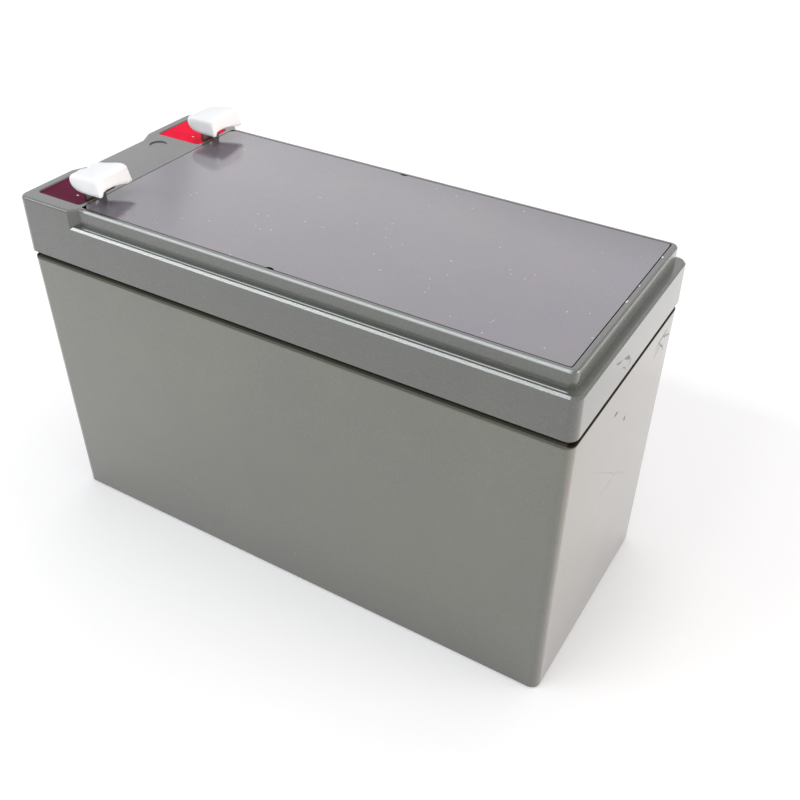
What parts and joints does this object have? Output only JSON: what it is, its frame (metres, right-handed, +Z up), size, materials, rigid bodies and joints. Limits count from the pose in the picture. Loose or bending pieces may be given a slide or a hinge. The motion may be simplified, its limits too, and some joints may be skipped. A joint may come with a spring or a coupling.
{
  "type": "sealed lead battery",
  "caption": "Sealed lead-acid block battery for back-up power supplies, with covered blade tabs in corner pockets and a flush vent cover.",
  "frame": {"origin": "centre of the base", "axes": "+X along the length, away from the terminals; +Y across the width, towards the positive terminal; +Z up"},
  "size_m": [0.151, 0.065, 0.1017],
  "materials": {
    "case": "smooth ABS, dark grey",
    "white_cap": "soft white plastic",
    "epoxy_red": "poured epoxy, glossy",
    "epoxy_black": "poured epoxy, glossy",
    "valve_rubber": "soft rubber",
    "tab_metal": "tin plated",
    "lead": "cast lead alloy, dull",
    "positive_paste": "cured lead dioxide paste",
    "negative_paste": "cured spongy lead paste",
    "glass_mat": "absorbent glass mat"
  },
  "bodies": {
    "root": {"cell_1_negative_plates": "negative_paste", "cell_1_negative_strap": "lead", "cell_1_positive_plates": "positive_paste", "cell_1_positive_strap": "lead", "cell_1_separators": "glass_mat", "cell_2_negative_plates": "negative_paste", "cell_2_negative_strap": "lead", "cell_2_positive_plates": "positive_paste", "cell_2_positive_strap": "lead", "cell_2_separators": "glass_mat", "cell_3_negative_plates": "negative_paste", "cell_3_negative_strap": "lead", "cell_3_positive_plates": "positive_paste", "cell_3_positive_strap": "lead", "cell_3_separators": "glass_mat", "cell_4_negative_plates": "negative_paste", "cell_4_negative_strap": "lead", "cell_4_positive_plates": "positive_paste", "cell_4_positive_strap": "lead", "cell_4_separators": "glass_mat", "cell_5_negative_plates": "negative_paste", "cell_5_negative_strap": "lead", "cell_5_positive_plates": "positive_paste", "cell_5_positive_strap": "lead", "cell_5_separators": "glass_mat", "cell_6_negative_plates": "negative_paste", "cell_6_negative_strap": "lead", "cell_6_positive_plates": "positive_paste", "cell_6_positive_strap": "lead", "cell_6_separators": "glass_mat", "container": "case", "lid": "case", "negative_epoxy": "epoxy_black", "negative_post": "lead", "negative_tab": "tab_metal", "negative_tab_cover": "white_cap", "positive_epoxy": "epoxy_red", "positive_post": "lead", "positive_tab": "tab_metal", "positive_tab_cover": "white_cap", "vent_cover": "case", "vent_valves": "valve_rubber"}
  },
  "joints": []
}
